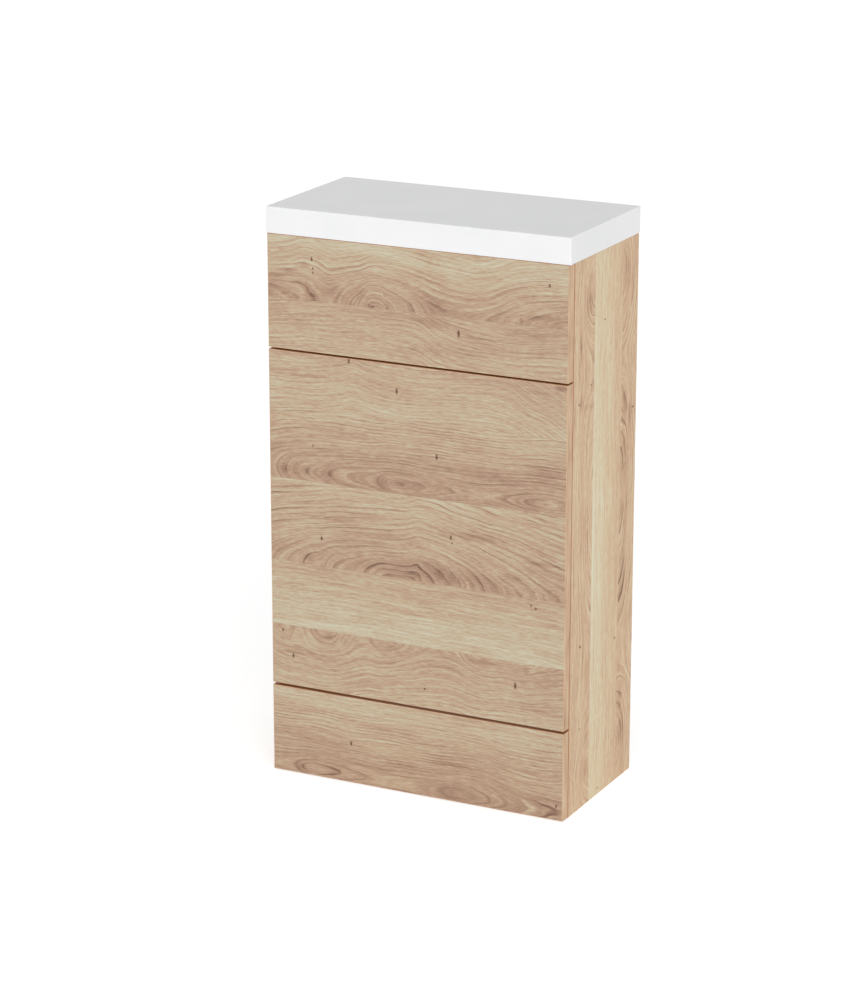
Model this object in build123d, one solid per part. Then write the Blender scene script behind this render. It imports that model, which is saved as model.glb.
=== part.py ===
from build123d import *
import os

# Back-to-wall toilet furniture unit: a slim open-backed cabinet that hides a cistern.
# Two gables and four upright rails carry three fascia boards and a moulded worktop.
# Millimetres, +Z up, +X to the right seen from the front, the front faces -Y.
# The origin is on the floor, midway between the sides and midway between front and back.

# Overall sizes
CABINET_WIDTH = 500.0
CARCASS_HEIGHT = 864.0
OVERALL_DEPTH = 255.0

# Boards and edging
BOARD = 18.0
FASCIA_BOARD = 18.0
EDGING = 1.0
EDGING_ROUND = 0.7
FASCIA_STANDOFF = 2.0

# Fascia heights, from the floor up, with the gaps between them
FLOOR_CLEARANCE = 1.0
LOWER_FASCIA_HEIGHT = 141.0
LOWER_GAP = 4.0
UPPER_GAP = 3.0
UPPER_FASCIA_HEIGHT = 176.5
WORKTOP_CLEARANCE = 0.3

# Worktop
WORKTOP_HEIGHT = 41.0
WORKTOP_OVERHANG = 2.0
WORKTOP_CORNER = 1.2
WORKTOP_TOP_ROUND = 1.0
WORKTOP_BASE_ROUND = 1.0
WORKTOP_SKIN = 14.0
WORKTOP_RIM = 22.0
WORKTOP_RIM_PLAY = 2.5
RIB_COUNT = 3
RIB_THICKNESS = 10.0
MOULD_DRAFT = 3.0
CELL_CORNER = 8.0
PEG_BOSS_RADIUS = 10.0

# Rails
END_RAIL_HEIGHT = 70.0
MIDDLE_RAIL_HEIGHT = 90.0
LOW_RAIL_BELOW_BLOCK = 10.0

# Cam-and-dowel joint at each end of each rail
CAM_RADIUS = 7.4
CAM_SETBACK = 34.0
CAM_BELOW_BOLT = 4.4
CAM_KEY_WIDTH = 1.6
CAM_KEY_DEPTH = 1.8
BOLT_RADIUS = 2.6
BOLT_HEAD_RADIUS = 3.6
BOLT_HEAD_LENGTH = 3.0
BOLT_PLAY = 0.3
JOINT_BITE = 12.0
DOWEL_RADIUS = 4.0
DOWEL_LENGTH = 30.0
JOINT_SPACING = 32.0

# Locating pegs for the worktop
PEG_RADIUS = 4.0
PEG_IN_RAIL = 20.0
PEG_PROUD = 10.0
PEG_SOCKET_PLAY = 0.5

# Push-in clips of the upper fascia
CLIP_INSET = 100.0
SOCKET_RADIUS = 7.9
SOCKET_DEPTH = 11.5
SOCKET_FLANGE_RADIUS = 11.0
SOCKET_THROAT_RADIUS = 4.5
SOCKET_CHAMBER_RADIUS = 5.4
SOCKET_THROAT_LENGTH = 3.0
SOCKET_SLOT = 1.4
STUD_PLUG_RADIUS = 5.9
STUD_PLUG_DEPTH = 9.0
STUD_NECK_RADIUS = 2.8
STUD_BULB_RADIUS = 4.2
STUD_REACH = 9.5
STUD_BULB_LENGTH = 5.0
STUD_SLIT = 1.2

# Screw holes, and the buffers that keep the fixed fascias off the rails
SCREW_HOLE_RADIUS = 2.2
RAIL_SCREW_INSET = 120.0
BUFFER_RADIUS = 8.0
BUFFER_FROM_SCREW = 16.0

# Fixing blocks between the gables and the fixed fascias
BLOCK_HEIGHT = 36.0
BLOCK_WIDTH = 20.0
BLOCK_EDGE_DISTANCE = 24.0
BLOCK_SCREW_SPACING = 16.0
BLOCK_ROUND = 4.0

# Wall brackets
BRACKET_SHEET = 2.0
BRACKET_LEG = 32.0
BRACKET_HEIGHT = 40.0
BRACKET_BEND = 2.0
BRACKET_CORNER = 5.0
BRACKET_BELOW_RAIL = 6.0
WALL_HOLE_RADIUS = 3.0
WALL_HOLE_FROM_GABLE = 21.0
BRACKET_SCREW_SPACING = 22.0
BRACKET_SCREW_FROM_WALL = 19.0

# Levelling feet
FOOT_PLATE_HEIGHT = 16.0
FOOT_SHEET = 2.5
FOOT_LEG = 38.0
FOOT_WALL = 40.0
FOOT_BRACKET_WIDTH = 36.0
FOOT_FROM_GABLE = 22.0
FOOT_FROM_RAIL = 26.0
FOOT_SCREW_HEIGHT = 14.0
FOOT_SCREW_SPACING = 18.0
THREAD_RADIUS = 4.0
NUT_FLATS = 13.0
NUT_HEIGHT = 6.5
COLLAR_HEIGHT = 4.0
STEM_ABOVE_PLATE = 28.0
STEM_KEY_FLATS = 4.0
STEM_KEY_DEPTH = 5.0
STEM_HOLE_CLEARANCE = 0.5
STUB_RADIUS = 3.0
STUB_IN_PAD = 6.0
PAD_RADIUS = 16.0
PAD_EDGE = 3.0
PAD_HUB_RADIUS = 7.0
PAD_HUB_HEIGHT = 10.0

# Clearances
SEAT_CLEARANCE = 0.05
BORE_END_CLEARANCE = 1.0
RUNNING_CLEARANCE = 0.06

# Planes and levels worked out from the sizes above
FRONT = -OVERALL_DEPTH / 2
BACK = OVERALL_DEPTH / 2
FASCIA_BACK = FRONT + FASCIA_BOARD
GABLE_FRONT = FASCIA_BACK + FASCIA_STANDOFF
SIDE = CABINET_WIDTH / 2
INNER = SIDE - BOARD
FRONT_RAIL_Y = GABLE_FRONT + BOARD / 2
REAR_RAIL_Y = BACK - BOARD / 2

LOWER_FASCIA_TOP = FLOOR_CLEARANCE + LOWER_FASCIA_HEIGHT
MIDDLE_FASCIA_BASE = LOWER_FASCIA_TOP + LOWER_GAP
UPPER_FASCIA_TOP = CARCASS_HEIGHT - WORKTOP_CLEARANCE
UPPER_FASCIA_BASE = UPPER_FASCIA_TOP - UPPER_FASCIA_HEIGHT
MIDDLE_FASCIA_TOP = UPPER_FASCIA_BASE - UPPER_GAP
MIDDLE_RAIL_BASE = (MIDDLE_FASCIA_TOP + UPPER_FASCIA_BASE - MIDDLE_RAIL_HEIGHT) / 2
TOP_RAIL_BASE = CARCASS_HEIGHT - END_RAIL_HEIGHT

# Heights of the fixing blocks on each gable; the lower rail stands below the lowest one
BLOCK_HEIGHTS = (
    LOWER_FASCIA_TOP - BLOCK_EDGE_DISTANCE,
    MIDDLE_FASCIA_BASE + BLOCK_EDGE_DISTANCE,
)
LOW_RAIL_TOP = BLOCK_HEIGHTS[0] - BLOCK_HEIGHT / 2 - LOW_RAIL_BELOW_BLOCK
LOW_RAIL_BASE = LOW_RAIL_TOP - END_RAIL_HEIGHT

# Each rail: its base, its height, the middle of its thickness, and the way its inner face looks
RAILS = {
    "top_front_rail": (TOP_RAIL_BASE, END_RAIL_HEIGHT, FRONT_RAIL_Y, 1),
    "middle_front_rail": (MIDDLE_RAIL_BASE, MIDDLE_RAIL_HEIGHT, FRONT_RAIL_Y, 1),
    "lower_front_rail": (LOW_RAIL_BASE, END_RAIL_HEIGHT, FRONT_RAIL_Y, 1),
    "top_rear_rail": (TOP_RAIL_BASE, END_RAIL_HEIGHT, REAR_RAIL_Y, -1),
}

# Each fascia: its base and its top
FASCIAS = {
    "upper_fascia": (UPPER_FASCIA_BASE, UPPER_FASCIA_TOP),
    "middle_fascia": (MIDDLE_FASCIA_BASE, MIDDLE_FASCIA_TOP),
    "lower_fascia": (FLOOR_CLEARANCE, LOWER_FASCIA_TOP),
}

# Clip heights: one row on the top rail, one on the part of the middle rail above the gap
CLIP_HEIGHTS = (
    TOP_RAIL_BASE + END_RAIL_HEIGHT / 2,
    (UPPER_FASCIA_BASE + MIDDLE_RAIL_BASE + MIDDLE_RAIL_HEIGHT) / 2,
)

# Heights of the screws that run through a front rail into a fixed fascia, clear of the cams
RAIL_SCREW_HEIGHTS = (
    (MIDDLE_FASCIA_TOP + MIDDLE_RAIL_BASE) / 2,
    LOW_RAIL_BASE + END_RAIL_HEIGHT / 4,
)

WALL_BRACKET_Z = TOP_RAIL_BASE - BRACKET_BELOW_RAIL - BRACKET_HEIGHT / 2
FEET = {
    "front_left": (-1, FRONT_RAIL_Y + BOARD / 2 + FOOT_FROM_RAIL),
    "front_right": (1, FRONT_RAIL_Y + BOARD / 2 + FOOT_FROM_RAIL),
    "rear_left": (-1, REAR_RAIL_Y - BOARD / 2 - FOOT_FROM_RAIL),
    "rear_right": (1, REAR_RAIL_Y - BOARD / 2 - FOOT_FROM_RAIL),
}


def slab(x_span, y_span, z_span):
    """A rectangular solid between three pairs of coordinates."""
    spans = (x_span, y_span, z_span)
    sizes = [high - low for low, high in spans]
    middle = [(low + high) / 2 for low, high in spans]
    return Pos(*middle) * Box(*sizes)


def rod(start, direction, radius, length):
    """A round bar, or the shape of a bore, from its start along a direction."""
    return Solid.make_cylinder(radius, length, Plane(origin=start, z_dir=direction))


def turned(corners):
    """A solid turned about Z from (radius, height) corners."""
    outline = Plane.XZ * Polyline(*corners, close=True)
    return revolve(make_face(outline), Axis.Z)


def joint_heights(name):
    """Heights of the cam bolt and of the dowel in the ends of one rail, either side of its middle."""
    base, height, _, _ = RAILS[name]
    middle = base + height / 2
    return (middle - JOINT_SPACING / 2, middle + JOINT_SPACING / 2)


def gable_bores():
    """Blind bores in the right gable's inner face for the bolts and dowels of the rails."""
    bores = []
    depth = JOINT_BITE + BORE_END_CLEARANCE
    for name, (_, _, y, _) in RAILS.items():
        bolt_z, dowel_z = joint_heights(name)
        bores.append(rod((INNER, y, bolt_z), (1, 0, 0), BOLT_RADIUS + SEAT_CLEARANCE, depth))
        bores.append(rod((INNER, y, dowel_z), (1, 0, 0), DOWEL_RADIUS + SEAT_CLEARANCE, depth))
    return bores


def gable():
    """The right gable with its bores, less the edging on its front edge."""
    return slab((INNER, SIDE), (GABLE_FRONT + EDGING, BACK), (0, CARCASS_HEIGHT)) - gable_bores()


def gable_edging():
    """The strip on the right gable's front edge, its two outer arrises eased."""
    strip = slab((INNER, SIDE), (GABLE_FRONT, GABLE_FRONT + EDGING), (0, CARCASS_HEIGHT))
    outer = strip.edges().filter_by(Axis.Z).group_by(Axis.Y)[0]
    return fillet(outer, EDGING_ROUND)


def rail(name):
    """One upright rail, drilled for its joints, clips, fascia screws and pegs."""
    base, height, y, inward = RAILS[name]
    board = slab((-INNER, INNER), (y - BOARD / 2, y + BOARD / 2), (base, base + height))
    bolt_z, dowel_z = joint_heights(name)
    dowel_depth = DOWEL_LENGTH - JOINT_BITE + BORE_END_CLEARANCE
    cuts = []
    for side in (-1, 1):
        way = (-side, 0, 0)
        face = (side * (INNER - CAM_SETBACK), y + inward * BOARD / 2, bolt_z)
        cuts.append(rod(face, (0, -inward, 0), CAM_RADIUS + SEAT_CLEARANCE, cam_depth()))
        cuts.append(rod((side * INNER, y, bolt_z), way, BOLT_HEAD_RADIUS + SEAT_CLEARANCE, CAM_SETBACK))
        cuts.append(rod((side * INNER, y, dowel_z), way, DOWEL_RADIUS + SEAT_CLEARANCE, dowel_depth))
    if base == TOP_RAIL_BASE:
        for x, _ in peg_places():
            top = (x, y, CARCASS_HEIGHT)
            cuts.append(rod(top, (0, 0, -1), PEG_RADIUS + SEAT_CLEARANCE, PEG_IN_RAIL + BORE_END_CLEARANCE))
    if inward > 0:
        cuts += [rod((x, GABLE_FRONT, z), (0, 1, 0), SOCKET_RADIUS + SEAT_CLEARANCE,
                     SOCKET_DEPTH + BORE_END_CLEARANCE)
                 for x, z in clip_places() if base < z < base + height]
        cuts += [rod((x, GABLE_FRONT, z), (0, 1, 0), SCREW_HOLE_RADIUS, BOARD)
                 for x, z in rail_screw_places() if base < z < base + height]
    return board - cuts


def cam_depth():
    """Depth of a cam disc in its rail: the bolt runs in the middle of the board."""
    return BOARD / 2 + CAM_BELOW_BOLT


def bolt_head_place():
    """How far the cam bolt's head starts from the gable: just past the middle of the cam disc."""
    return CAM_SETBACK - BOLT_HEAD_LENGTH / 2


def cam_disc():
    """A cam disc about Z, face at Z = 0: screwdriver slot, pocket for the bolt's head, jaw slot to +X."""
    disc = rod((0, 0, 0), (0, 0, -1), CAM_RADIUS, cam_depth())
    bolt_line = -BOARD / 2
    across = 2 * (BOLT_HEAD_RADIUS + BOLT_PLAY)
    pocket = Pos(0, 0, bolt_line) * Box(BOLT_HEAD_LENGTH + 2 * BOLT_PLAY, across, across)
    jaw = Pos(CAM_RADIUS / 2, 0, bolt_line) * Box(CAM_RADIUS, 2 * (BOLT_RADIUS + BOLT_PLAY), across)
    key = Pos(0, 0, -CAM_KEY_DEPTH / 2) * Box(2 * CAM_RADIUS, CAM_KEY_WIDTH, CAM_KEY_DEPTH)
    return disc - pocket - jaw - key


def cam_bolt():
    """A cam bolt along Z: its shank from inside the gable to its head in the cam disc."""
    head = bolt_head_place()
    return turned([
        (0, -JOINT_BITE),
        (BOLT_RADIUS, -JOINT_BITE),
        (BOLT_RADIUS, head),
        (BOLT_HEAD_RADIUS, head),
        (BOLT_HEAD_RADIUS, head + BOLT_HEAD_LENGTH),
        (0, head + BOLT_HEAD_LENGTH),
    ])


def dowel():
    """A wooden dowel along Z, its gable end at Z = -JOINT_BITE."""
    return rod((0, 0, -JOINT_BITE), (0, 0, 1), DOWEL_RADIUS, DOWEL_LENGTH)


def joint_fittings():
    """All cam discs, cam bolts and dowels, as three groups of separate solids."""
    discs, bolts, dowels = [], [], []
    for side in (-1, 1):
        for name, (_, _, y, inward) in RAILS.items():
            bolt_z, dowel_z = joint_heights(name)
            seat = Plane(
                origin=(side * (INNER - CAM_SETBACK), y + inward * BOARD / 2, bolt_z),
                x_dir=(side, 0, 0),
                z_dir=(0, inward, 0),
            )
            discs.append(seat.location * cam_disc())
            bolts.append(Plane(origin=(side * INNER, y, bolt_z), z_dir=(-side, 0, 0)).location * cam_bolt())
            dowels.append(Plane(origin=(side * INNER, y, dowel_z), z_dir=(-side, 0, 0)).location * dowel())
    return discs, bolts, dowels


def hollow_reach():
    """How far the worktop's hollows reach to either side: the rim beyond them rests on the gables."""
    return SIDE + WORKTOP_OVERHANG - WORKTOP_RIM + WORKTOP_RIM_PLAY


def cell_width():
    """Width of one hollow under the worktop, with a rib between each two."""
    return (2 * hollow_reach() - RIB_COUNT * RIB_THICKNESS) / (RIB_COUNT + 1)


def peg_places():
    """Where the locating pegs stand: under the worktop's outer ribs, in the two top rails."""
    x = hollow_reach() - cell_width() - RIB_THICKNESS / 2
    return [(side * x, y) for side in (-1, 1) for y in (FRONT_RAIL_Y, REAR_RAIL_Y)]


def peg():
    """A locating peg about Z, its foot at Z = -PEG_IN_RAIL."""
    return rod((0, 0, -PEG_IN_RAIL), (0, 0, 1), PEG_RADIUS, PEG_IN_RAIL + PEG_PROUD)


def worktop_cells():
    """The drafted hollows under the worktop, split by cross ribs."""
    depth = OVERALL_DEPTH - 2 * WORKTOP_RIM
    hollow = WORKTOP_HEIGHT - WORKTOP_SKIN
    cells = []
    for place in range(RIB_COUNT + 1):
        x = cell_width() / 2 - hollow_reach() + place * (cell_width() + RIB_THICKNESS)
        outline = Pos(x, 0, CARCASS_HEIGHT) * RectangleRounded(cell_width(), depth, CELL_CORNER)
        cells.append(extrude(outline, hollow, taper=MOULD_DRAFT))
    return cells


def worktop():
    """The moulded worktop: rounded outside, ribbed and hollow underneath, with sockets for the pegs."""
    outline = RectangleRounded(CABINET_WIDTH + 2 * WORKTOP_OVERHANG, OVERALL_DEPTH, WORKTOP_CORNER)
    body = extrude(Pos(0, 0, CARCASS_HEIGHT) * outline, WORKTOP_HEIGHT)
    body = fillet(body.faces().sort_by(Axis.Z)[-1].edges(), WORKTOP_TOP_ROUND)
    body = fillet(body.faces().sort_by(Axis.Z)[0].edges(), WORKTOP_BASE_ROUND)
    body = body - worktop_cells()
    hollow = WORKTOP_HEIGHT - WORKTOP_SKIN
    for x, y in peg_places():
        boss = rod((x, y, CARCASS_HEIGHT), (0, 0, 1), PEG_BOSS_RADIUS, hollow)
        inside = slab((-SIDE, SIDE), (FRONT + WORKTOP_RIM / 2, BACK - WORKTOP_RIM / 2),
                      (CARCASS_HEIGHT, CARCASS_HEIGHT + hollow))
        body = body + (boss & inside)
    for x, y in peg_places():
        depth = PEG_PROUD + BORE_END_CLEARANCE
        body = body - rod((x, y, CARCASS_HEIGHT), (0, 0, 1), PEG_RADIUS + PEG_SOCKET_PLAY, depth)
    return body


def fascia(name):
    """One fascia board, less its edging, drilled in its back where it has clips."""
    base, top = FASCIAS[name]
    board = slab((EDGING - SIDE, SIDE - EDGING), (FRONT, FASCIA_BACK), (base + EDGING, top - EDGING))
    bores = [rod((x, FASCIA_BACK, z), (0, -1, 0), STUD_PLUG_RADIUS + SEAT_CLEARANCE,
                 STUD_PLUG_DEPTH + BORE_END_CLEARANCE) for x, z in clip_places() if base < z < top]
    return board - bores if bores else board


def fascia_edging(name):
    """The four edging strips of a fascia, the front arrises eased: long ones lap over the short ones."""
    base, top = FASCIAS[name]
    strips = []
    for low in (base, top - EDGING):
        strip = slab((-SIDE, SIDE), (FRONT, FASCIA_BACK), (low, low + EDGING))
        strips.append((strip, Axis.X, Axis.Z, low == base))
    for low in (-SIDE, SIDE - EDGING):
        strip = slab((low, low + EDGING), (FRONT, FASCIA_BACK), (base + EDGING, top - EDGING))
        strips.append((strip, Axis.Z, Axis.X, low < 0))
    eased = []
    for strip, along, across, first in strips:
        front_edges = strip.edges().filter_by(along).group_by(Axis.Y)[0].sort_by(across)
        outer = front_edges[0] if first else front_edges[-1]
        eased.append(fillet(outer, EDGING_ROUND))
    return eased


def clip_places():
    """Where the clips of the upper fascia sit, as (x, z)."""
    x = SIDE - CLIP_INSET
    return [(side * x, z) for side in (-1, 1) for z in CLIP_HEIGHTS]


def clip_socket():
    """A clip socket along Z: flange from Z = 0 up to the stand-off, sprung barrel below, four slots."""
    shell = turned([
        (SOCKET_THROAT_RADIUS, FASCIA_STANDOFF),
        (SOCKET_FLANGE_RADIUS, FASCIA_STANDOFF),
        (SOCKET_FLANGE_RADIUS, 0),
        (SOCKET_RADIUS, 0),
        (SOCKET_RADIUS, -SOCKET_DEPTH),
        (SOCKET_CHAMBER_RADIUS, -SOCKET_DEPTH),
        (SOCKET_CHAMBER_RADIUS, FASCIA_STANDOFF - SOCKET_THROAT_LENGTH),
        (SOCKET_THROAT_RADIUS, FASCIA_STANDOFF - SOCKET_THROAT_LENGTH),
    ])
    slot_depth = SOCKET_DEPTH - SOCKET_THROAT_LENGTH
    slot = Pos(0, 0, -SOCKET_DEPTH + slot_depth / 2) * Box(2 * SOCKET_FLANGE_RADIUS, SOCKET_SLOT, slot_depth)
    return shell - slot - Rot(0, 0, 90) * slot


def clip_stud():
    """A clip stud along Z: plug below Z = 0 for the fascia, neck and split bulb above it."""
    bulb_base = STUD_REACH - STUD_BULB_LENGTH
    body = turned([
        (0, -STUD_PLUG_DEPTH),
        (STUD_PLUG_RADIUS, -STUD_PLUG_DEPTH),
        (STUD_PLUG_RADIUS, 0),
        (STUD_NECK_RADIUS, 0),
        (STUD_NECK_RADIUS, bulb_base),
        (STUD_BULB_RADIUS, bulb_base + STUD_BULB_LENGTH / 3),
        (STUD_NECK_RADIUS, STUD_REACH),
        (0, STUD_REACH),
    ])
    slit = Box(2 * STUD_BULB_RADIUS, STUD_SLIT, STUD_BULB_LENGTH)
    return body - Pos(0, 0, STUD_REACH - STUD_BULB_LENGTH / 2) * slit


def clips():
    """The sockets in the rails and the studs in the upper fascia, as two groups."""
    sockets = [Plane(origin=(x, GABLE_FRONT, z), z_dir=(0, -1, 0)).location * clip_socket()
               for x, z in clip_places()]
    studs = [Plane(origin=(x, FASCIA_BACK, z), z_dir=(0, 1, 0)).location * clip_stud()
             for x, z in clip_places()]
    return sockets, studs


def rail_screw_places():
    """Where screws run through the middle and lower front rails, as (x, z)."""
    return [(side * RAIL_SCREW_INSET, z) for side in (-1, 1) for z in RAIL_SCREW_HEIGHTS]


def fascia_buffers():
    """The buffers between the rails and the fixed fascias, one inwards of each screw through a rail."""
    inset = RAIL_SCREW_INSET - BUFFER_FROM_SCREW
    return [rod((side * inset, FASCIA_BACK, z), (0, 1, 0), BUFFER_RADIUS, FASCIA_STANDOFF)
            for side in (-1, 1) for z in RAIL_SCREW_HEIGHTS]


def block_depth():
    """Front-to-back size of a fixing block: level with the rails behind, against the fascia in front."""
    return BOARD + FASCIA_STANDOFF


def bracket_screw_places():
    """The two screw holes of the right wall bracket's leg on the gable, as (y, z)."""
    spread = BRACKET_SCREW_SPACING / 2
    return [(BACK - BRACKET_SCREW_FROM_WALL, WALL_BRACKET_Z + way * spread) for way in (-1, 1)]


def foot_screw_places(y):
    """The two screw holes of a right-hand foot bracket's leg on the gable, as (y, z)."""
    z = FOOT_PLATE_HEIGHT + FOOT_SHEET + FOOT_SCREW_HEIGHT
    return [(y + way * FOOT_SCREW_SPACING / 2, z) for way in (-1, 1)]


def fixing_block(height):
    """A moulded block on the right gable, with a screw hole each way and its free corner rounded."""
    x_span = (INNER - BLOCK_WIDTH, INNER)
    y_span = (FASCIA_BACK, FASCIA_BACK + block_depth())
    body = slab(x_span, y_span, (height - BLOCK_HEIGHT / 2, height + BLOCK_HEIGHT / 2))
    free_corner = body.edges().filter_by(Axis.Z).group_by(Axis.X)[0].sort_by(Axis.Y)[-1]
    body = fillet(free_corner, BLOCK_ROUND)
    to_fascia = (INNER - BLOCK_WIDTH / 2, FASCIA_BACK, height - BLOCK_SCREW_SPACING / 2)
    to_gable = (INNER - BLOCK_WIDTH, FASCIA_BACK + block_depth() / 2, height + BLOCK_SCREW_SPACING / 2)
    body -= rod(to_fascia, (0, 1, 0), SCREW_HOLE_RADIUS, block_depth())
    return body - rod(to_gable, (1, 0, 0), SCREW_HOLE_RADIUS, BLOCK_WIDTH)


def bent_sheet(leg_a, leg_b, sheet, bend, width):
    """An L of bent sheet along Z: legs towards -X and -Y from the outer corner at the origin."""
    outer = bend + sheet
    profile = make_face(Polyline(
        (0, 0), (-leg_a, 0), (-leg_a, -sheet), (-sheet, -sheet), (-sheet, -leg_b), (0, -leg_b), close=True))
    body = extrude(profile, width)
    corner = body.edges().filter_by(Axis.Z)
    inside = corner.sort_by_distance((-sheet, -sheet, width / 2))[0]
    body = fillet(inside, bend)
    outside = body.edges().filter_by(Axis.Z).sort_by_distance((0, 0, width / 2))[0]
    return fillet(outside, outer)


def wall_bracket():
    """The right wall bracket: one leg on the gable, the other level with the gables' back edges."""
    body = Pos(INNER, BACK, WALL_BRACKET_Z - BRACKET_HEIGHT / 2) * bent_sheet(
        BRACKET_LEG, BRACKET_LEG, BRACKET_SHEET, BRACKET_BEND, BRACKET_HEIGHT)
    wall_end = body.edges().filter_by(Axis.Y).group_by(Axis.X)[0]
    gable_end = body.edges().filter_by(Axis.X).group_by(Axis.Y)[0]
    body = fillet(wall_end + gable_end, BRACKET_CORNER)
    x, z = wall_hole_place()
    body -= rod((x, BACK - BRACKET_SHEET, z), (0, 1, 0), WALL_HOLE_RADIUS, BRACKET_SHEET)
    for y, z in bracket_screw_places():
        body -= rod((INNER - BRACKET_SHEET, y, z), (1, 0, 0), SCREW_HOLE_RADIUS, BRACKET_SHEET)
    return body


def wall_hole_place():
    """Centre of the right wall bracket's fixing hole, as (x, z)."""
    return (INNER - WALL_HOLE_FROM_GABLE, WALL_BRACKET_Z)


def foot_bracket(y):
    """A right-hand foot bracket: one leg up the gable, the other level, with a hole for the stem."""
    angle = bent_sheet(FOOT_LEG, FOOT_WALL, FOOT_SHEET, FOOT_SHEET, FOOT_BRACKET_WIDTH)
    body = Plane(
        origin=(INNER, y + FOOT_BRACKET_WIDTH / 2, FOOT_PLATE_HEIGHT), x_dir=(1, 0, 0), z_dir=(0, -1, 0),
    ).location * mirror(angle, about=Plane.XZ)
    body = fillet(body.edges().filter_by(Axis.Z).group_by(Axis.X)[0], BRACKET_CORNER)
    stem_x = INNER - FOOT_FROM_GABLE
    body -= rod((stem_x, y, FOOT_PLATE_HEIGHT), (0, 0, 1), THREAD_RADIUS + STEM_HOLE_CLEARANCE, FOOT_SHEET)
    for hole_y, z in foot_screw_places(y):
        body -= rod((INNER - FOOT_SHEET, hole_y, z), (1, 0, 0), SCREW_HOLE_RADIUS, FOOT_SHEET)
    return body


def foot_nut():
    """The nut welded on a foot bracket, about Z, its base at Z = 0."""
    body = extrude(hexagon(NUT_FLATS), NUT_HEIGHT)
    return body - rod((0, 0, 0), (0, 0, 1), THREAD_RADIUS + RUNNING_CLEARANCE, NUT_HEIGHT)


def hexagon(flats):
    """A hexagon about the origin, by its size across flats."""
    return RegularPolygon(flats / 2, 6, major_radius=False)


def foot_stem():
    """A foot's stem about Z from the floor up: stub, hexagon collar, threaded rod and key socket."""
    top = FOOT_PLATE_HEIGHT + STEM_ABOVE_PLATE
    collar_base = FOOT_PLATE_HEIGHT - COLLAR_HEIGHT
    stub_base = PAD_HUB_HEIGHT - STUB_IN_PAD
    body = rod((0, 0, collar_base), (0, 0, 1), THREAD_RADIUS, top - collar_base)
    collar = extrude(Pos(0, 0, collar_base) * hexagon(NUT_FLATS), COLLAR_HEIGHT)
    stub = rod((0, 0, stub_base), (0, 0, 1), STUB_RADIUS, collar_base - stub_base)
    key = extrude(Pos(0, 0, top) * hexagon(STEM_KEY_FLATS), -STEM_KEY_DEPTH)
    return body + collar + stub - key


def foot_pad():
    """A foot's pad about Z, its sole at Z = 0, with the blind socket that the stem turns in."""
    body = turned([
        (0, 0),
        (PAD_RADIUS, 0),
        (PAD_RADIUS, PAD_EDGE),
        (PAD_HUB_RADIUS, PAD_HUB_HEIGHT),
        (0, PAD_HUB_HEIGHT),
    ])
    return body - rod((0, 0, PAD_HUB_HEIGHT), (0, 0, -1), STUB_RADIUS + RUNNING_CLEARANCE, STUB_IN_PAD)


def both_sides(shapes):
    """Right-hand shapes and their mirror images."""
    return list(shapes) + [mirror(shape, about=Plane.YZ) for shape in shapes]


def build():
    """Every piece by name: one solid, or a list of separate solids."""
    pieces = {
        "right_gable": gable(),
        "right_gable_edging": gable_edging(),
        "worktop": worktop(),
    }
    pieces["left_gable"] = mirror(pieces["right_gable"], about=Plane.YZ)
    pieces["left_gable_edging"] = mirror(pieces["right_gable_edging"], about=Plane.YZ)
    for name in RAILS:
        pieces[name] = rail(name)
    for name in FASCIAS:
        pieces[name] = fascia(name)
        pieces[name + "_edging"] = fascia_edging(name)
    pieces["cam_discs"], pieces["cam_bolts"], pieces["wooden_dowels"] = joint_fittings()
    pieces["worktop_pegs"] = [Pos(x, y, CARCASS_HEIGHT) * peg() for x, y in peg_places()]
    pieces["clip_sockets"], pieces["clip_studs"] = clips()
    pieces["fascia_buffers"] = fascia_buffers()
    pieces["fixing_blocks"] = both_sides([fixing_block(z) for z in BLOCK_HEIGHTS])
    pieces["wall_brackets"] = both_sides([wall_bracket()])
    right_feet = [y for side, y in FEET.values() if side > 0]
    pieces["foot_brackets"] = both_sides([foot_bracket(y) for y in right_feet])
    nut_base = FOOT_PLATE_HEIGHT + FOOT_SHEET
    stem_x = INNER - FOOT_FROM_GABLE
    pieces["foot_nuts"] = [Pos(side * stem_x, y, nut_base) * foot_nut() for side, y in FEET.values()]
    for name, (side, y) in FEET.items():
        pieces["foot_stem_" + name] = Pos(side * stem_x, y, 0) * foot_stem()
        pieces["foot_pad_" + name] = Pos(side * stem_x, y, 0) * foot_pad()
    return pieces


def main():
    os.makedirs("parts", exist_ok=True)
    for name, shape in build().items():
        if isinstance(shape, list):
            shape = Compound(children=shape)
        export_step(shape, f"parts/{name}.step")


main()
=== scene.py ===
# %% [markdown]
# A slim toilet furniture unit: an oak-effect cabinet that stands against a bathroom wall and hides
# a cistern, with a white moulded worktop. Its boards and fittings come from the CAD frame, which
# stays as it is. This lesson gives every board its printed wood decor, adds the small fasteners
# that the frame leaves out, and sets up a plain studio with the photograph's camera.

# %% Load the frame
from math import cos, pi, radians, sin

import bpy
from mathutils import Euler, Matrix, Vector


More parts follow.
